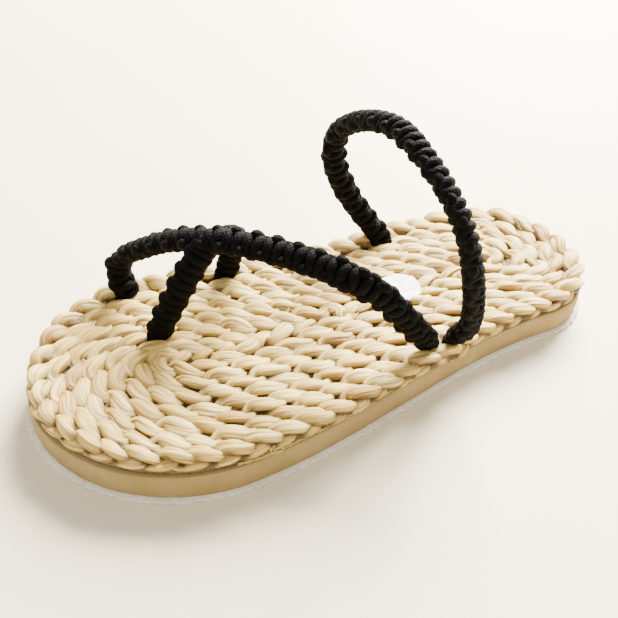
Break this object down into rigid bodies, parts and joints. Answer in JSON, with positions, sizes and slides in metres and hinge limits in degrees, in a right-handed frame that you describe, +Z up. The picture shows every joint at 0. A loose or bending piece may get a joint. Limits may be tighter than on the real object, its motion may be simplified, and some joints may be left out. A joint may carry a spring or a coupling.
{
  "type": "straw flip-flop",
  "caption": "Straw flip-flop for the left foot: coiled straw braid footbed on a foam sole with a thin rubber outsole, held on by knotted cord straps.",
  "frame": {"origin": "on the floor, under the middle of the whole sandal's box, straps included", "axes": "+X from heel to toe, +Y to the outer side of the left foot, +Z up"},
  "size_m": [0.2474, 0.1096, 0.101],
  "materials": {
    "outsole_rubber": "thin pale textured rubber sheet, matt",
    "foam": "fine-celled beige foam, smooth matt cut edge",
    "straw": "natural dried straw in a three-strand braid, satin with fine lengthwise fibres",
    "cord": "black twisted cord in flat square knots, soft sheen",
    "paper": "plain white round paper sticker"
  },
  "bodies": {
    "root": {"outsole": "outsole_rubber", "midsole": "foam", "straw_mat": "straw", "toe_straps": "cord", "ankle_strap": "cord"}
  },
  "joints": []
}
